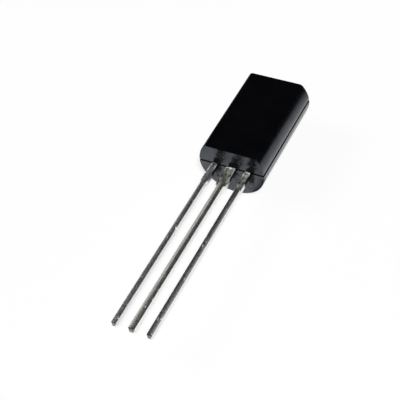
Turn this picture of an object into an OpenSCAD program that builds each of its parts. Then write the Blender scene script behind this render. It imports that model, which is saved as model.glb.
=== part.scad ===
// Long-body through-hole transistor: a moulded epoxy case on a stamped three-lead frame, with the
// chip and its two bond wires inside.
//
// Each piece is drawn in the axes of the package and then laid on its back by lie_down().
// Package axes: X runs across the flat, Y from the flat to the round back, and Z up the body away
// from the leads. Y = 0 is the parting plane, where the front faces of the leads lie. Z = 0 is the
// lead end of the body. Laid down, the flat faces up, the leads run towards -Y, and the origin is
// under the middle of the whole part, at the level that it rests on.

/* [Moulded body] */
// Width of the body, the diameter of its round back
body_w = 4.94; // [4.6:0.02:5.2]
// Length of the body along the leads
body_l = 8.0; // [7.6:0.1:8.6]
// Depth of the front half, from the flat to the parting plane
front_depth = 1.43; // [1.28:0.01:1.58]
// Radius along the two long edges of the flat
flat_edge_r = 0.35; // [0.1:0.05:0.6]
// Draft of the end faces of the front half, in degrees
front_draft = 4; // [1:0.5:7]
// Draft of the end faces of the back half, in degrees
back_draft = 1; // [0.5:0.5:7]
// How far the front half stands in from the back half at the parting plane
mould_step = 0.02; // [0.01:0.01:0.06]
// Depth of the straight flanks of the back half, from the parting plane to its round back
back_flank = 0.05; // [0.02:0.01:0.2]
// Width of the witness groove at the parting plane
groove_w = 0.14; // [0.06:0.01:0.2]
// Depth of the witness groove
groove_d = 0.1; // [0.04:0.01:0.14]

/* [Ejector-pin mark on the back] */
// Diameter of the mark
mark_d = 1.6; // [1:0.1:1.8]
// Depth of the mark below the crown of the back
mark_depth = 0.15; // [0.12:0.01:0.3]
// Height of the mark's centre above the lead end of the body
mark_z = 5.2; // [3:0.1:6.2]

/* [Leads] */
// Distance between neighbouring leads
pitch = 1.27; // [1.2:0.01:1.5]
// Length of the leads outside the body
lead_l = 14.3; // [5:0.1:15]
// Thickness of the lead frame strip
frame_t = 0.4; // [0.3:0.05:0.5]
// Width of the middle lead
middle_w = 0.46; // [0.35:0.01:0.55]
// Width of the shoulder of the middle lead
middle_shoulder_w = 0.66; // [0.56:0.01:0.75]
// Width of the outer leads
outer_w = 0.37; // [0.32:0.01:0.5]
// Width of the shoulder of the outer leads
outer_shoulder_w = 0.42; // [0.4:0.01:0.6]
// Length of the shoulders outside the body
shoulder_l = 1.75; // [1.2:0.05:2.4]
// Width along the leads of the dam bar that was trimmed away
dam_bar_w = 0.75; // [0.4:0.05:1]
// Height of the dam bar's stubs above the shoulder's edge
dam_bar_stub = 0.04; // [0.02:0.01:0.08]
// Chamfer on the sheared tip of each lead
tip_chamfer = 0.06; // [0.02:0.01:0.12]

/* [Die paddle and bond posts] */
// Width of the paddle
paddle_w = 2.4; // [1.8:0.1:3]
// Length of the paddle
paddle_l = 3.2; // [2.9:0.1:3.4]
// Height of the paddle's lower edge above the lead end of the body
paddle_z = 3.4; // [3.1:0.1:3.8]
// Chamfer on the paddle's lower corners
paddle_chamfer = 0.5; // [0.2:0.05:0.8]
// Diameter of the hole that locks the paddle in the epoxy
lock_hole_d = 0.8; // [0.5:0.05:1]
// Distance from the paddle's upper edge to the centre of the lock hole
lock_hole_drop = 0.7; // [0.65:0.05:0.85]
// Width of the bond posts
post_w = 1.0; // [0.7:0.05:1.1]
// Length of the bond posts
post_l = 1.0; // [0.8:0.05:1.2]
// Height of the posts' lower edge above the lead end of the body
post_z = 1.6; // [1:0.1:1.7]

/* [Chip] */
// Side of the square chip
die_w = 1.0; // [0.8:0.05:1.2]
// Thickness of the chip
die_t = 0.22; // [0.15:0.01:0.3]
// Height of the chip's centre above the paddle's lower edge
die_rise = 1.15; // [0.95:0.05:1.2]
// Thickness of the solder under the chip
attach_t = 0.03; // [0.02:0.01:0.06]
// Width of the solder fillet round the chip
attach_rim = 0.08; // [0.04:0.01:0.15]

/* [Bond wires] */
// Diameter of the wire
wire_d = 0.05; // [0.04:0.005:0.08]
// Radius of the wire's bends
wire_bend_r = 0.12; // [0.1:0.01:0.2]
// Height of the wire's loop above the chip
loop_rise = 0.3; // [0.25:0.01:0.45]
// Diameter of the ball bond on the chip
ball_d = 0.12; // [0.1:0.01:0.16]
// Height of the ball bond
ball_h = 0.03; // [0.02:0.005:0.05]
// Distance of each bond pad from the chip's middle line
pad_x = 0.25; // [0.15:0.01:0.3]
// Distance of the bond pads below the chip's centre
pad_drop = 0.25; // [0.1:0.01:0.35]
// Diameter of the foot where the wire is bonded to its post
foot_d = 0.14; // [0.12:0.01:0.2]
// Height of the foot
foot_h = 0.02; // [0.015:0.005:0.04]

/* [Hidden] */
$fn = 96;

// Longer than any section of the body, for cutting shapes
reach = body_w + body_l;
back_r = body_w / 2;
front_r = back_r - mould_step;
// Sides of the circles that draw the bond wires
wire_sides = 24;
back_depth = back_flank + back_r;
// Height of the chip's face, counted from the parting plane towards the flat
die_face = attach_t + die_t;
die_z = paddle_z + die_rise;
pad_z = die_z - pad_drop;
foot_z = post_z + post_l / 2;

// Turns a piece from the package axes onto its back and puts it over the origin
module lie_down() {
    translate([0, (lead_l - body_l) / 2, back_depth])
        rotate([-90, 0, 0])
            children();
}

// Extrudes an outline in X and Z towards the back, from y1 to y2
module slab(y1, y2) {
    translate([0, y2, 0])
        rotate([90, 0, 0])
            linear_extrude(height = y2 - y1)
                children();
}

// ---- Moulded body ----

// Round section of the body cut by the flat, drawn in X and Y, with its two edges rounded
module body_section(r, flat_y, edge_r) {
    edge_y = -flat_y + edge_r;
    edge_x = sqrt(pow(r - edge_r, 2) - pow(edge_y, 2));
    difference() {
        intersection() {
            circle(r = r);
            translate([-reach, -flat_y])
                square([2 * reach, flat_y + reach]);
        }
        for (side = [-1, 1])
            polygon([
                [side * edge_x, edge_y],
                [side * edge_x, edge_y - reach],
                [side * edge_x * (1 + reach / r), edge_y * (1 + reach / r) - reach],
                [side * edge_x * (1 + reach / r), edge_y * (1 + reach / r)]
            ]);
    }
    for (side = [-1, 1])
        translate([side * edge_x, edge_y])
            circle(r = edge_r);
}

// Side view of one mould half in Y and Z, from the parting plane out to y, with drafted ends
module drafted_side(y, draft) {
    lean = abs(y) * tan(draft);
    translate([-reach, 0, 0])
        rotate([90, 0, 90])
            linear_extrude(height = 2 * reach)
                polygon([[0, 0], [y, lean], [y, body_l - lean], [0, body_l]]);
}

// Keeps what lies between y1 and y2
module between(y1, y2) {
    intersection() {
        children();
        translate([-reach, y1, -reach])
            cube([2 * reach, y2 - y1, 3 * reach]);
    }
}

module front_half() {
    intersection() {
        linear_extrude(height = body_l)
            body_section(front_r, front_depth, flat_edge_r);
        drafted_side(-front_depth, front_draft);
    }
}

module back_half() {
    intersection() {
        linear_extrude(height = body_l) {
            translate([0, back_flank])
                circle(r = back_r);
            translate([-back_r, 0])
                square([2 * back_r, back_flank]);
        }
        drafted_side(back_depth, back_draft);
    }
}

// The narrower strip of the case at the bottom of the witness groove, sunk into both halves
module groove_floor() {
    translate([0, 0, groove_d])
        linear_extrude(height = body_l - 2 * groove_d)
            square([2 * (front_r - groove_d), 2 * groove_w], center = true);
}

module ejector_mark() {
    translate([0, back_depth - mark_depth, mark_z])
        rotate([-90, 0, 0])
            cylinder(d = mark_d, h = mark_depth + back_r);
}

module body_shell() {
    between(-front_depth, -groove_w / 2)
        front_half();
    groove_floor();
    difference() {
        between(groove_w / 2, back_depth)
            back_half();
        ejector_mark();
    }
}

// ---- Lead frame ----

// One lead outside the body, with its shoulder and the stubs of the dam bar, in X and Z
module lead_outline(w, shoulder_w, inner_end) {
    polygon([
        [-w / 2 + tip_chamfer, -lead_l],
        [w / 2 - tip_chamfer, -lead_l],
        [w / 2, -lead_l + tip_chamfer],
        [w / 2, -shoulder_l],
        [-w / 2, -shoulder_l],
        [-w / 2, -lead_l + tip_chamfer]
    ]);
    translate([-shoulder_w / 2, -shoulder_l])
        square([shoulder_w, shoulder_l + inner_end]);
    translate([-shoulder_w / 2 - dam_bar_stub, -shoulder_l])
        square([shoulder_w + 2 * dam_bar_stub, dam_bar_w]);
}

module collector_outline() {
    lead_outline(middle_w, middle_shoulder_w, paddle_z);
    difference() {
        translate([0, paddle_z])
            polygon([
                [-paddle_w / 2 + paddle_chamfer, 0],
                [paddle_w / 2 - paddle_chamfer, 0],
                [paddle_w / 2, paddle_chamfer],
                [paddle_w / 2, paddle_l],
                [-paddle_w / 2, paddle_l],
                [-paddle_w / 2, paddle_chamfer]
            ]);
        translate([0, paddle_z + paddle_l - lock_hole_drop])
            circle(d = lock_hole_d);
    }
}

module post_outline() {
    lead_outline(outer_w, outer_shoulder_w, post_z);
    translate([-post_w / 2, post_z])
        square([post_w, post_l]);
}

module collector() {
    slab(0, frame_t)
        collector_outline();
}

// side is -1 for the emitter and 1 for the base
module outer_lead(side) {
    translate([side * pitch, 0, 0])
        slab(0, frame_t)
            post_outline();
}

// ---- Chip and bond wires ----

module attach() {
    side = die_w + 2 * attach_rim;
    translate([-side / 2, -attach_t, die_z - side / 2])
        cube([side, attach_t, side]);
}

module chip() {
    translate([-die_w / 2, -die_face, die_z - die_w / 2])
        cube([die_w, die_t, die_w]);
}

// A quarter bend in X and Z that starts at the origin along +Z and ends along +X
module wire_bend() {
    translate([wire_bend_r, 0, 0])
        rotate([90, 0, 0])
            rotate([0, 0, 90])
                rotate_extrude(angle = 90)
                    translate([wire_bend_r, 0])
                        circle(d = wire_d, $fn = wire_sides);
}

// A bonded wire in X and Z: up from a ball bond at the origin, across by span, and down by fall
module wire_loop(span, rise, fall) {
    neck = rise - wire_bend_r;
    cylinder(d = ball_d, h = ball_h, $fn = wire_sides);
    cylinder(d = wire_d, h = neck, $fn = wire_sides);
    translate([0, 0, neck])
        wire_bend();
    translate([wire_bend_r, 0, rise])
        rotate([0, 90, 0])
            cylinder(d = wire_d, h = span - 2 * wire_bend_r, $fn = wire_sides);
    translate([span, 0, neck])
        mirror([1, 0, 0])
            wire_bend();
    translate([span, 0, rise - fall])
        cylinder(d = wire_d, h = fall - wire_bend_r, $fn = wire_sides);
    translate([span, 0, rise - fall])
        cylinder(d = foot_d, h = foot_h, $fn = wire_sides);
}

// side is -1 for the emitter and 1 for the base
module bond_wire(side) {
    across = side * (pitch - pad_x);
    up = foot_z - pad_z;
    translate([side * pad_x, -die_face, pad_z])
        rotate([0, atan2(-up, across), 0])
            rotate([90, 0, 0])
                wire_loop(norm([across, up]), loop_rise, loop_rise + die_face);
}

// ---- Nodes ----

module epoxy_body() {
    color([0.06, 0.06, 0.065])
        lie_down()
            difference() {
                body_shell();
                collector();
                outer_lead(-1);
                outer_lead(1);
                attach();
                chip();
                bond_wire(-1);
                bond_wire(1);
            }
}

module emitter_lead() {
    color([0.62, 0.62, 0.6])
        lie_down()
            outer_lead(-1);
}

module collector_lead() {
    color([0.62, 0.62, 0.6])
        lie_down()
            collector();
}

module base_lead() {
    color([0.62, 0.62, 0.6])
        lie_down()
            outer_lead(1);
}

module die() {
    color([0.35, 0.36, 0.4])
        lie_down()
            chip();
}

module die_attach() {
    color([0.7, 0.7, 0.72])
        lie_down()
            attach();
}

module emitter_bond_wire() {
    color([0.85, 0.65, 0.25])
        lie_down()
            bond_wire(-1);
}

module base_bond_wire() {
    color([0.85, 0.65, 0.25])
        lie_down()
            bond_wire(1);
}

epoxy_body();
emitter_lead();
collector_lead();
base_lead();
die();
die_attach();
emitter_bond_wire();
base_bond_wire();
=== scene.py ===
import math

import bpy
from mathutils import Matrix, Vector


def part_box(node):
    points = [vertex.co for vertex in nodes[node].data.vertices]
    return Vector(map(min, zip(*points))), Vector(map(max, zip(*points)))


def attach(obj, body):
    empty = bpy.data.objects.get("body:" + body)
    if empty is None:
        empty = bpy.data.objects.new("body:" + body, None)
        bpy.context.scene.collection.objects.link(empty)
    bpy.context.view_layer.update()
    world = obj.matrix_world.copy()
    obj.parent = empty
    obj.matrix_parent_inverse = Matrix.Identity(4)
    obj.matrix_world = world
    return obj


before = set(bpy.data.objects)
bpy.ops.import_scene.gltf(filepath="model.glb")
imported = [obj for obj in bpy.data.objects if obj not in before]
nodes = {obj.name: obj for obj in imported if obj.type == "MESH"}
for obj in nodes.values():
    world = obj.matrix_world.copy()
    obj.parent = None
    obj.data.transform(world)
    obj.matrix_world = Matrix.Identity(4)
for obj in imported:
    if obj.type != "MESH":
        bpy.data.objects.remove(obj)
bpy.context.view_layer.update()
case_low, case_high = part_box("epoxy_body")
lead_low, lead_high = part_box("base_lead")

MM = 0.001


def drawn(place):
    """A place in the frame, rounded to hundredths of a millimetre, as part.scad has it."""
    return round(place / MM, 2) * MM


# ---- Camera ----

TARGET = Vector((-1.324, 0.635, 1.331)) * MM  # the point it looks at
AZIMUTH = math.radians(-35.299)  # of the way it looks, from +Y towards +X
ELEVATION = math.radians(48.106)
ROLL = math.radians(-11.326)
DISTANCE = 71.328 * MM
SENSOR = 36.0
PHOTO_WIDTH = 400  # pixels
FOCAL_LENGTH = 1035  # pixels of the photograph
LENS = FOCAL_LENGTH / PHOTO_WIDTH * SENSOR
CLIP_START = 1 * MM

# ---- Studio ----

CEILING = 0.012  # brightness of the dark ceiling
HORIZON_TOP = 0.06  # sine of the elevation at which the white surround starts to fade
CEILING_BOTTOM = 0.30  # sine of the elevation at which the dark ceiling is reached
LAMP_DISTANCE = 1.2
# Name, azimuth from +Y towards +X and elevation in degrees, power in watts, diameter in metres
LAMPS = (("key", 140, 54, 14.85, 0.22),
         ("fill", -95, 40, 2.75, 0.45))
FLOOR_SIZE = 6.0
FLOOR_PAINT = (0.97, 0.97, 0.97, 1)
FLOOR_WHITE = 0.6  # share of plain white in the floor that reflections show
FLOOR_SEEN = 0.77  # share of plain white in the floor that the camera sees
CARD_PAINT = (0.02, 0.02, 0.02, 1)
CARD_RADII = (4.6 * MM, 13.5 * MM)  # of the inner edge, along X and Y
CARD_RIM = 0.7 * MM  # height at which the card is quite dark
# How far out from the inner edge, and how high
CARD_RINGS = ((0, 0), (13 * MM, CARD_RIM), (18 * MM, 12 * MM))
CARD_ARC = (math.radians(-62), math.radians(125))  # from +Y towards +X
CARD_STEPS = 48

# ---- Places on the part, in the row's frame ----

PITCH = drawn((lead_low.x + lead_high.x) / 2)  # X of the last lead's middle
TIP = drawn(lead_low.y)  # Y of the sheared ends of the leads
ROOT = drawn(case_low.y)  # Y of the lead end of the case
FRONT = drawn(lead_high.z)  # Z of the fronts of the leads and of the parting line
BACK_RADIUS = drawn(case_high.x)  # of the round back, and the height of its centre
SHOULDER = 1.75 * MM  # length of the wide root of a lead

# ---- Edges ----

BODY_EDGE = 0.02 * MM
LEAD_EDGE = 0.035 * MM
EDGE_SEGMENTS = 3
EDGE_ANGLE = math.radians(25)  # from which an edge is softened
FLAT_ANGLE = math.radians(0.5)  # up to which faces count as one
WELD = 1e-7

# ---- Case ----

# Noise scales are in cycles per metre
EPOXY_CLOUD = dict(scale=400, detail=5)
EPOXY_GRAIN = dict(scale=22000, detail=2)
EPOXY_WAVE = dict(scale=1300, detail=2)
EPOXY_SHEEN = dict(scale=800, detail=2, offset=(0.4, 0, 0.7))
EPOXY_TONES = ((0.0006, 0.0006, 0.0010), (0.0012, 0.0012, 0.0020))
EPOXY_ROUGH = (0.17, 0.24)
EPOXY_GLOSS = (0.38, 0.6)
EPOXY_IOR = 1.7
EPOXY_TINT = (0.79, 0.865, 1.0, 1.0)  # of its reflections
GRAIN_DEPTH = 0.0012 * MM
WAVE_DEPTH = 0.008 * MM
# Painted sheen: a glossier band beside the parting line, on the front half, that brightens its
# reflections
SHEEN_BAND_GLOSS = 1.0
SHEEN_BAND_TOP = (0.05 * MM, 0.6 * MM)  # heights above the parting line between which it fades
SHEEN_BAND_FOOT = (-0.1 * MM, -0.03 * MM)
SHEEN_BAND_START = 0.4 * MM  # how far from the case's end it is whole
# Low-gloss patches of painted shade on the lead end, where the leads and their shadows reflect
END_DEPTH = (0.25 * MM, 0.4 * MM)  # how deep into the case the lead end's patches fade
MATTE_NOISE = dict(scale=2600, detail=2)
MATTE_ROUGH = 0.4
MATTE_GLOSS = 0.05
MATTE_SHIFT = 0.17 * MM  # how far towards +X of its lead a patch lies
MATTE_LEAN = 0.35 * MM  # how much further it lies at the top of the case's end
MATTE_HEIGHT = 1.4 * MM  # height over which it leans
MATTE_REACH = (0.10 * MM, 0.46 * MM)  # distances from its middle between which it fades
MATTE_TOP = (2.9 * MM, 3.9 * MM)  # Z between which it weakens
MATTE_TOP_SHARE = 0.55
MATTE_BOTTOM = (0.9 * MM, 1.9 * MM)  # Z between which it starts
MATTE_RAGGED = 0.35  # how much the noise adds to a patch or takes from it
MATTE_NOISE_LIMITS = (0.35, 0.65)
MATTE_OUTSIDE = (0.0, 0.25)  # strengths of a patch between which the noise sets in
MATTE_LIMITS = (0.2, 0.75)
# Painted shade along the dark right rim of the lead end
CORNER_RIM = (0.57 * MM, 0.07 * MM)  # distances from the round edge between which it darkens
CORNER_X = (1.2 * MM, 1.6 * MM)
CORNER_Z = (2.1 * MM, 2.5 * MM)

# ---- Leads ----

# Node, half of its width, slopes of the front at the left and right edges, share of them at the
# tip, colour, lightest tone of the blotched root
LEADS = (("emitter_lead", 0.185 * MM, 0.5, 0.05, 0.75, (0.94, 0.94, 0.98), 0.35),
         ("collector_lead", 0.23 * MM, 0.95, -0.2, 0.7, (0.95, 0.94, 0.88), 0.5),
         ("base_lead", 0.185 * MM, -0.35, 0.62, 1.0, (0.95, 0.95, 0.93), 0.8))
LEAD_SHIFT = 0.013  # between the noise of one lead and the next
TIN_NOISE = {"blotch": dict(scale=2200, stretch=(1, 0.22, 1), detail=4, roughness=0.5),
             "streak": dict(scale=11000, stretch=(1, 0.03, 1), detail=3, roughness=0.55),
             "pit": dict(scale=14000, stretch=(1, 0.5, 1), detail=2, roughness=0.5),
             "speck": dict(scale=7500, stretch=(1, 0.7, 1), detail=2, roughness=0.5),
             "mottle": dict(scale=5200, stretch=(1, 0.6, 1), detail=3, roughness=0.5)}
TIN_RELIEF = (("streak", 0.005 * MM), ("blotch", 0.014 * MM), ("pit", 0.0012 * MM),
              ("speck", 0.02 * MM))
TIN_ROUGH = (0.25, 0.36)
TIN_DULL = 0.88  # share of the lead's colour in its darker blotches
SIDE_TONES = ((0.68, 0.68, 0.67), (0.96, 0.96, 0.95))
SIDE_LIMITS = (0.75, 0.95)  # X of the normal between which a face turns into a side
SPECK_TONE = (0.97, 0.97, 0.97)
SPECK_LIMITS = (0.68, 0.73)
SPECK_ROUGH = 0.7
# The blotched root
STAIN_DARK = (0.22, 0.225, 0.19)
STAIN_YELLOW = 0.9  # share of blue in its lightest tone
STAIN_START = 0.6  # share of the shoulder's length from which it is whole
STAIN_LEAST = 0.35
STAIN_LIMITS = (0.42, 0.6)
MOTTLE_LIMITS = (0.4, 0.62)
MOTTLE_METAL = 0.5
# Painted shade on the sides of the root, near black close to the case
ROOT_SHADE_REACH = 0.95 * MM  # how far out of the case it reaches
ROOT_SHADE_FADE = 0.1 * MM
ROOT_SHADE_TONE = (0.012, 0.012, 0.014)
# The sheared end, and its bright corner
TIP_CHAMFER = 0.06 * MM
SHEARED_TONE = (0.2, 0.195, 0.18)
BURNISH_SLOPE = 0.49  # of the bright corner's border, as width per depth
BURNISH_SHIFT = 0.04 * MM
BURNISH_FADE = (-0.02 * MM, 0.04 * MM)

# ---- Flash ----

# Ridges at the roots of each lead: start and end, as distances from the lead's centre and from
# the case, and thickness, all in millimetres
FLASH = {"emitter_lead": (((-0.2, 0.0), (-0.2, 0.75), 0.030), ((0.2, 0.0), (0.2, 0.6), 0.026)),
         "collector_lead": (((-0.33, 0.03), (0.33, 0.03), 0.034),
                            ((0.33, 0.0), (0.32, 1.35), 0.032),
                            ((-0.33, 0.0), (-0.33, 0.4), 0.024)),
         "base_lead": (((-0.2, 0.03), (0.2, 0.03), 0.034), ((-0.2, 0.0), (-0.19, 0.7), 0.028),
                       ((0.2, 0.0), (0.2, 0.3), 0.024))}
RIDGE_RINGS = 15
RIDGE_SIDES = 6
RIDGE_WAVES = ((7.1, 1.0, 1.0), (17.3, 2.7, 0.6))  # rate, share of the seed, size
RIDGE_SWAY = 0.3  # by the waves, as a share of the thickness
RIDGE_END = 0.35  # share of the thickness at both ends
LEAD_SEED = 10  # between the ridges of one lead and the next
FLASH_NOISE = dict(scale=9000, detail=3)
# The ridges are shape; their pale, part-diffuse tones are partly painted highlight on the edges of
# the roots
FLASH_HIGHLIGHT_TONES = ((0.62, 0.62, 0.60), (0.96, 0.96, 0.96))
FLASH_METAL = 0.6
FLASH_ROUGH = (0.35, 0.6)
FLASH_DEPTH = 0.01 * MM

# ---- Inside ----

# Material, darker and lighter colour, noise scale, slot, nodes
INSIDE = (("silicon", ((0.28, 0.29, 0.33), (0.4, 0.41, 0.46)), 3000, "silicon", ("die",)),
          ("solder", ((0.55, 0.55, 0.57), (0.75, 0.75, 0.77)), 5000, "solder", ("die_attach",)),
          ("gold_wire", ((0.75, 0.55, 0.2), (0.9, 0.68, 0.28)), 9000, "bond_wire",
           ("emitter_bond_wire", "base_bond_wire")))
INSIDE_ROUGH = (0.2, 0.4)
INSIDE_DEPTH = 0.001 * MM


# ---- Node helpers ----

def new_material(name):
    material = bpy.data.materials.new(name)
    material.use_nodes = True
    material.node_tree.nodes.clear()
    return material, material.node_tree


def node(tree, kind, inputs=None, **settings):
    made = tree.nodes.new(kind)
    for key, value in settings.items():
        setattr(made, key, value)
    for key, value in (inputs or {}).items():
        if isinstance(value, bpy.types.NodeSocket):
            tree.links.new(value, made.inputs[key])
        else:
            made.inputs[key].default_value = value
    return made


def calculate(tree, operation, *values):
    return node(tree, "ShaderNodeMath", dict(enumerate(values)), operation=operation).outputs[0]


def times(tree, product, *factors):
    for factor in factors:
        product = calculate(tree, "MULTIPLY", product, factor)
    return product


def axis(tree, name, space="Object"):
    place = node(tree, "ShaderNodeTexCoord").outputs[space]
    return node(tree, "ShaderNodeSeparateXYZ", {0: place}).outputs[name]


def noise(tree, scale, stretch=(1, 1, 1), detail=4.0, roughness=0.55, offset=(0, 0, 0)):
    place = node(tree, "ShaderNodeTexCoord").outputs["Object"]
    mapping = node(tree, "ShaderNodeMapping",
                   {"Vector": place, "Scale": stretch, "Location": offset})
    return node(tree, "ShaderNodeTexNoise",
                {"Vector": mapping.outputs["Vector"], "Scale": scale,
                 "Detail": detail, "Roughness": roughness}).outputs["Fac"]


def spread(tree, value, low, high, start=0.3, end=0.7, **settings):
    """From low, where the value is start, to high, where it is end, and clamped outside."""
    return node(tree, "ShaderNodeMapRange",
                {"Value": value, "From Min": start, "From Max": end,
                 "To Min": low, "To Max": high}, **settings).outputs["Result"]


def blend(tree, factor, first, second):
    mix = node(tree, "ShaderNodeMix", {"Factor": factor}, data_type="RGBA")
    for socket, colour in zip([i for i in mix.inputs if i.type == "RGBA"], (first, second)):
        if isinstance(colour, bpy.types.NodeSocket):
            tree.links.new(colour, socket)
        else:
            socket.default_value = (*colour, 1)
    return [o for o in mix.outputs if o.type == "RGBA"][0]


def bump(tree, height, depth, normal=None):
    made = node(tree, "ShaderNodeBump", {"Height": height, "Strength": 1.0, "Distance": depth})
    if normal:
        tree.links.new(normal, made.inputs["Normal"])
    return made.outputs["Normal"]


def finish_with(tree, **inputs):
    inputs = {key.replace("_", " "): value for key, value in inputs.items()}
    shader = node(tree, "ShaderNodeBsdfPrincipled", inputs)
    node(tree, "ShaderNodeOutputMaterial", {"Surface": shader.outputs["BSDF"]})


def finish_mixed(tree, share, first, second):
    mix = node(tree, "ShaderNodeMixShader", {0: share, 1: first.outputs[0], 2: second.outputs[0]})
    node(tree, "ShaderNodeOutputMaterial", {"Surface": mix.outputs[0]})


# ---- Materials ----

def on_lead_end(tree):
    """One on the end of the case where the leads come out, nought elsewhere on the case."""
    return spread(tree, axis(tree, "Y"), 1, 0, ROOT + END_DEPTH[0], ROOT + END_DEPTH[1])


def painted_shade_patches(tree):
    """One in the uneven low-gloss patches of painted shade round the roots of the leads, nought
    elsewhere.

    They are painted shade: they darken the reflections of the leads and of their shadows, which
    come out too pale without them.
    """
    z = axis(tree, "Z")
    shift = spread(tree, z, MATTE_SHIFT, MATTE_SHIFT + MATTE_LEAN, FRONT, FRONT + MATTE_HEIGHT)
    shifted = calculate(tree, "SUBTRACT", axis(tree, "X"), shift)
    nearest = calculate(tree, "ROUND", calculate(tree, "DIVIDE", shifted, PITCH))
    nearest = calculate(tree, "MAXIMUM", calculate(tree, "MINIMUM", nearest, 1.0), -1.0)
    away = calculate(tree, "SUBTRACT", shifted, times(tree, nearest, PITCH))
    away = calculate(tree, "ABSOLUTE", away)
    near = times(tree, spread(tree, away, 1, 0, *MATTE_REACH),
                 spread(tree, z, 1, MATTE_TOP_SHARE, *MATTE_TOP),
                 spread(tree, z, 0, 1, *MATTE_BOTTOM), on_lead_end(tree))
    ragged = spread(tree, noise(tree, **MATTE_NOISE),
                    -MATTE_RAGGED, MATTE_RAGGED, *MATTE_NOISE_LIMITS)
    ragged = times(tree, ragged, spread(tree, near, 0, 1, *MATTE_OUTSIDE))
    return spread(tree, calculate(tree, "ADD", near, ragged), 0, 1, *MATTE_LIMITS)


def painted_shade_corner(tree):
    """One at the right rim of the lead end, below the parting line, where shade is painted, nought
    elsewhere.
    """
    x, z = axis(tree, "X"), axis(tree, "Z")
    below = calculate(tree, "SUBTRACT", z, BACK_RADIUS)
    squares = calculate(tree, "ADD", times(tree, x, x), times(tree, below, below))
    return times(tree, spread(tree, calculate(tree, "SQRT", squares), 0, 1,
                              BACK_RADIUS - CORNER_RIM[0], BACK_RADIUS - CORNER_RIM[1]),
                 spread(tree, x, 0, 1, *CORNER_X), spread(tree, z, 1, 0, *CORNER_Z),
                 on_lead_end(tree))


def painted_sheen_band(tree):
    """One beside the parting line on the front half, where painted sheen makes the skin glossier.
    """
    up = axis(tree, "Z")
    return times(tree, spread(tree, up, 1, 0, *(FRONT + height for height in SHEEN_BAND_TOP)),
                 spread(tree, up, 0, 1, *(FRONT + height for height in SHEEN_BAND_FOOT)),
                 spread(tree, axis(tree, "Y"), 0, 1, ROOT, ROOT + SHEEN_BAND_START))


def epoxy():
    material, tree = new_material("epoxy")
    cloud = noise(tree, **EPOXY_CLOUD)
    # painted shade: low gloss on the lead end darkens its reflections
    painted_shade = calculate(tree, "MAXIMUM", painted_shade_patches(tree), painted_shade_corner(tree))
    gloss = spread(tree, noise(tree, **EPOXY_SHEEN), *EPOXY_GLOSS)
    # painted sheen: more gloss beside the parting line
    gloss = spread(tree, painted_sheen_band(tree), gloss, SHEEN_BAND_GLOSS, 0, 1)
    normal = bump(tree, noise(tree, **EPOXY_GRAIN), GRAIN_DEPTH)
    finish_with(tree,
                Base_Color=blend(tree, spread(tree, cloud, 0, 1), *EPOXY_TONES),
                Roughness=spread(tree, painted_shade, spread(tree, cloud, *EPOXY_ROUGH), MATTE_ROUGH, 0, 1),
                IOR=EPOXY_IOR,
                Specular_IOR_Level=spread(tree, painted_shade, gloss, MATTE_GLOSS, 0, 1),
                Specular_Tint=EPOXY_TINT,
                Normal=bump(tree, noise(tree, **EPOXY_WAVE), WAVE_DEPTH, normal))
    return material


def rolled(tree, middle, half, left, right, fade):
    """Height across the front of a lead that leans by these slopes at its left and right edges."""
    across = spread(tree, axis(tree, "X"), -1.0, 1.0, middle - half, middle + half)
    lean = calculate(tree, "MULTIPLY_ADD", across, (right - left) / 4, (left + right) / 2)
    return times(tree, across, lean,
                 spread(tree, axis(tree, "Y"), fade, 1.0, TIP, ROOT - SHOULDER))


def sideways(tree):
    """One on the faces of a lead that look along X, nought on its front."""
    normal = node(tree, "ShaderNodeNewGeometry").outputs["True Normal"]
    across = node(tree, "ShaderNodeSeparateXYZ", {0: normal}).outputs["X"]
    return spread(tree, calculate(tree, "ABSOLUTE", across), 0, 1, *SIDE_LIMITS)


def burnished(tree, edge):
    """Nought in the bright lower right corner of a sheared end, one elsewhere.

    It hides most of a small hook that the solids show there and the photograph doesn't.
    """
    place = calculate(tree, "MULTIPLY_ADD", axis(tree, "Z"), -BURNISH_SLOPE, axis(tree, "X"))
    line = edge - BURNISH_SLOPE * FRONT + BURNISH_SHIFT
    return spread(tree, place, 1, 0, *(line + fade for fade in BURNISH_FADE))


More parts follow.
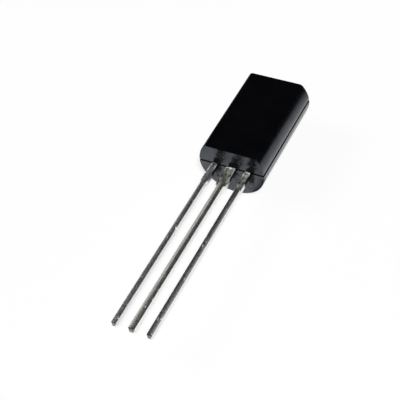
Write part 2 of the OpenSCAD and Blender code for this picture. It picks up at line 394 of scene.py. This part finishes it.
def tin(name, seed, middle, half, left, right, fade, tone, root):
    """Tin plating with a blotched root, painted shade on the root's sides and a sheared end."""
    material, tree = new_material(name)
    shift = (seed, 2 * seed, 3 * seed)
    relief = {kind: noise(tree, offset=shift, **texture) for kind, texture in TIN_NOISE.items()}
    relief["speck"] = spread(tree, relief["speck"], 0, 1, *SPECK_LIMITS)
    normal = bump(tree, rolled(tree, middle, half, left, right, fade), half)
    for kind, depth in TIN_RELIEF:
        normal = bump(tree, relief[kind], depth, normal)
    y = axis(tree, "Y")
    side = sideways(tree)
    stain = times(tree, spread(tree, y, 0, 1, ROOT - SHOULDER, ROOT - STAIN_START * SHOULDER),
                  spread(tree, relief["blotch"], STAIN_LEAST, 1, *STAIN_LIMITS))
    mottle = spread(tree, relief["mottle"], 0, 1, *MOTTLE_LIMITS)
    # painted shade: the sides of the root turn near black close to the case
    root_shade = times(tree, side, spread(tree, y, 0, 1, ROOT - ROOT_SHADE_REACH - ROOT_SHADE_FADE, ROOT - ROOT_SHADE_REACH))
    sheared = times(tree, spread(tree, y, 1, 0, TIP + TIP_CHAMFER, TIP + 2 * TIP_CHAMFER),
                    burnished(tree, middle + half))
    dull = tuple(TIN_DULL * share for share in tone)
    colour = blend(tree, spread(tree, relief["blotch"], 0, 1), dull, tone)
    stained = blend(tree, mottle, STAIN_DARK, (root, root, STAIN_YELLOW * root))
    streaked = blend(tree, spread(tree, relief["streak"], 0, 1), *SIDE_TONES)
    for mask, over in ((stain, stained), (relief["speck"], SPECK_TONE), (side, streaked),
                       (root_shade, ROOT_SHADE_TONE), (sheared, SHEARED_TONE)):
        colour = blend(tree, mask, colour, over)
    rough = spread(tree, relief["pit"], *TIN_ROUGH)
    finish_with(tree,
                Base_Color=colour,
                Metallic=spread(tree, times(tree, stain, mottle), 1, MOTTLE_METAL, 0, 1),
                Roughness=spread(tree, relief["speck"], rough, SPECK_ROUGH, 0, 1),
                Normal=normal)
    return material


def cloudy_metal(name, tones, texture, metallic, rough, depth):
    material, tree = new_material(name)
    cloud = noise(tree, **texture)
    finish_with(tree,
                Base_Color=blend(tree, spread(tree, cloud, 0, 1), *tones),
                Metallic=metallic,
                Roughness=spread(tree, cloud, *rough),
                Normal=bump(tree, cloud, depth))
    return material


def floor_paint():
    """White paint that glows for the camera and in reflections, and still shows the shadow."""
    material, tree = new_material("floor_paint")
    ray = node(tree, "ShaderNodeLightPath").outputs
    reflected = calculate(tree, "MAXIMUM", ray["Is Glossy Ray"], ray["Is Transmission Ray"])
    share = calculate(tree, "MAXIMUM", times(tree, ray["Is Camera Ray"], FLOOR_SEEN),
                      times(tree, reflected, FLOOR_WHITE))
    finish_mixed(tree, share, node(tree, "ShaderNodeBsdfDiffuse", {"Color": FLOOR_PAINT}),
                 node(tree, "ShaderNodeEmission", {"Color": (1, 1, 1, 1), "Strength": 1.0}))
    return material


def card_paint():
    """Dark paint that is clear at the floor and solid from the height of the rim up."""
    material, tree = new_material("card_paint")
    solid = spread(tree, axis(tree, "Z"), 0.0, 1.0, 0.0, CARD_RIM,
                   interpolation_type="SMOOTHSTEP")
    finish_mixed(tree, solid, node(tree, "ShaderNodeBsdfTransparent", {"Color": (1, 1, 1, 1)}),
                 node(tree, "ShaderNodeBsdfDiffuse", {"Color": CARD_PAINT}))
    return material


# ---- Shape ----

def add(name, data):
    made = bpy.data.objects.new(name, data)
    bpy.context.scene.collection.objects.link(made)
    return made


def add_mesh(name, corners, faces, material):
    mesh = bpy.data.meshes.new(name)
    mesh.from_pydata(corners, [], faces)
    mesh.materials.append(material)
    return add(name, mesh)


def soften(obj, width):
    weld = obj.modifiers.new("weld", "WELD")
    weld.merge_threshold = WELD
    flat = obj.modifiers.new("flat", "DECIMATE")
    flat.decimate_type = "DISSOLVE"
    flat.angle_limit = FLAT_ANGLE
    edge = obj.modifiers.new("edge", "BEVEL")
    edge.width = width
    edge.segments = EDGE_SEGMENTS
    edge.limit_method = "ANGLE"
    edge.angle_limit = EDGE_ANGLE
    edge.use_clamp_overlap = False
    shade = obj.modifiers.new("shade", "WEIGHTED_NORMAL")
    shade.keep_sharp = False


def ridge(corners, faces, start, end, thick, middle, seed):
    """An uneven ridge that tapers to both of its ends."""
    run = Vector((end[0] - start[0], start[1] - end[1], 0))
    across = run.normalized().cross(Vector((0, 0, 1)))
    base = len(corners)
    for i in range(RIDGE_RINGS):
        t = i / (RIDGE_RINGS - 1)
        wave = sum(size * math.sin(rate * t + share * seed) for rate, share, size in RIDGE_WAVES)
        taper = RIDGE_END + (1 - RIDGE_END) * math.sin(math.pi * t)
        size = thick * taper * (1 + RIDGE_SWAY * wave)
        centre = Vector((start[0], -start[1], 0)) + run * t + across * RIDGE_SWAY * thick * wave
        for k in range(RIDGE_SIDES):
            turn = 2 * math.pi * k / RIDGE_SIDES
            point = centre + size * (across * math.cos(turn) + Vector((0, 0, math.sin(turn))))
            corners.append((middle + point.x * MM, ROOT + point.y * MM, FRONT + point.z * MM))
    for i in range(RIDGE_RINGS - 1):
        for k in range(RIDGE_SIDES):
            a = base + i * RIDGE_SIDES + k
            b = base + i * RIDGE_SIDES + (k + 1) % RIDGE_SIDES
            faces.append((a, b, b + RIDGE_SIDES, a + RIDGE_SIDES))
    last = base + (RIDGE_RINGS - 1) * RIDGE_SIDES
    faces.append(tuple(base + k for k in reversed(range(RIDGE_SIDES))))
    faces.append(tuple(last + k for k in range(RIDGE_SIDES)))


def make_flash(lead, middle, material):
    """The thin flash that the mould leaves on the edges of a lead where it leaves the case."""
    corners, faces = [], []
    for seed, (start, end, thick) in enumerate(FLASH[lead]):
        ridge(corners, faces, start, end, thick, middle, seed + LEAD_SEED * middle / PITCH)
    flash = add_mesh(lead + "_flash", corners, faces, material)
    flash.data.shade_smooth()
    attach(flash, "root")


def dress(obj, material):
    obj.data.materials.clear()
    obj.data.materials.append(material)


# ---- Studio ----

def direction(azimuth, elevation):
    """Unit vector, with the azimuth from +Y towards +X."""
    level = math.cos(elevation)
    return Vector((math.sin(azimuth) * level, math.cos(azimuth) * level, math.sin(elevation)))


def make_floor():
    bpy.ops.mesh.primitive_plane_add(size=FLOOR_SIZE)
    floor = bpy.context.object
    floor.name = "floor"
    floor.data.materials.append(floor_paint())


def make_card():
    """A dark dished card on one side of the part. It shows only in reflections."""
    start, end = CARD_ARC
    rings = len(CARD_RINGS)
    corners, faces = [], []
    for i in range(CARD_STEPS + 1):
        angle = start + (end - start) * i / CARD_STEPS
        for out, up in CARD_RINGS:
            corners.append(((CARD_RADII[0] + out) * math.sin(angle),
                            (CARD_RADII[1] + out) * math.cos(angle), up))
        for k in range(rings * (i - 1), rings * i - 1) if i else ():
            faces.append((k, k + 1, k + rings + 1, k + rings))
    card = add_mesh("card", corners, faces, card_paint())
    card.visible_camera = card.visible_diffuse = card.visible_shadow = False


def make_world():
    """A white surround that fades to a dark ceiling."""
    world = bpy.data.worlds.new("studio")
    world.use_nodes = True
    tree = world.node_tree
    tree.nodes.clear()
    fade = spread(tree, axis(tree, "Z", "Generated"), 1.0, CEILING, HORIZON_TOP, CEILING_BOTTOM,
                  interpolation_type="SMOOTHSTEP")
    sky = node(tree, "ShaderNodeBackground", {"Color": fade, "Strength": 1.0})
    node(tree, "ShaderNodeOutputWorld", {"Surface": sky.outputs[0]})
    bpy.context.scene.world = world


def make_lamp(name, azimuth, elevation, power, size):
    light = bpy.data.lights.new(name, "AREA")
    light.shape = "DISK"
    light.size = size
    light.energy = power
    away = direction(math.radians(azimuth), math.radians(elevation))
    lamp = add(name, light)
    lamp.location = away * LAMP_DISTANCE
    lamp.rotation_euler = away.to_track_quat("Z", "Y").to_euler()


def make_camera():
    forward = direction(AZIMUTH, -ELEVATION)
    level = forward.cross(Vector((0, 0, 1))).normalized()
    right = Matrix.Rotation(-ROLL, 3, forward) @ level
    up = right.cross(forward)
    data = bpy.data.cameras.new("camera")
    data.sensor_width = SENSOR
    data.lens = LENS
    data.clip_start = CLIP_START
    camera = add("camera", data)
    turn = Matrix((right, up, -forward)).transposed().to_4x4()
    camera.matrix_world = Matrix.Translation(TARGET - DISTANCE * forward) @ turn
    bpy.context.scene.camera = camera


# ---- The scene ----

dress(nodes["epoxy_body"], epoxy())
soften(nodes["epoxy_body"], BODY_EDGE)
# pale flash ridges, partly painted highlight
flash = cloudy_metal("flash", FLASH_HIGHLIGHT_TONES, FLASH_NOISE, FLASH_METAL, FLASH_ROUGH, FLASH_DEPTH)
for place, (name, *finish) in enumerate(LEADS):
    middle = PITCH * (place - 1)
    plating = tin("tin_" + name, LEAD_SHIFT * (place + 1), middle, *finish)
    dress(nodes[name], plating)
    soften(nodes[name], LEAD_EDGE)
    make_flash(name, middle, flash)
for name, tones, scale, slot, pieces in INSIDE:
    metal = cloudy_metal(name, tones, dict(scale=scale), 1.0, INSIDE_ROUGH, INSIDE_DEPTH)
    for piece in pieces:
        dress(nodes[piece], metal)

make_floor()
make_card()
make_world()
for lamp in LAMPS:
    make_lamp(*lamp)
make_camera()
bpy.context.scene.view_settings.view_transform = "Standard"
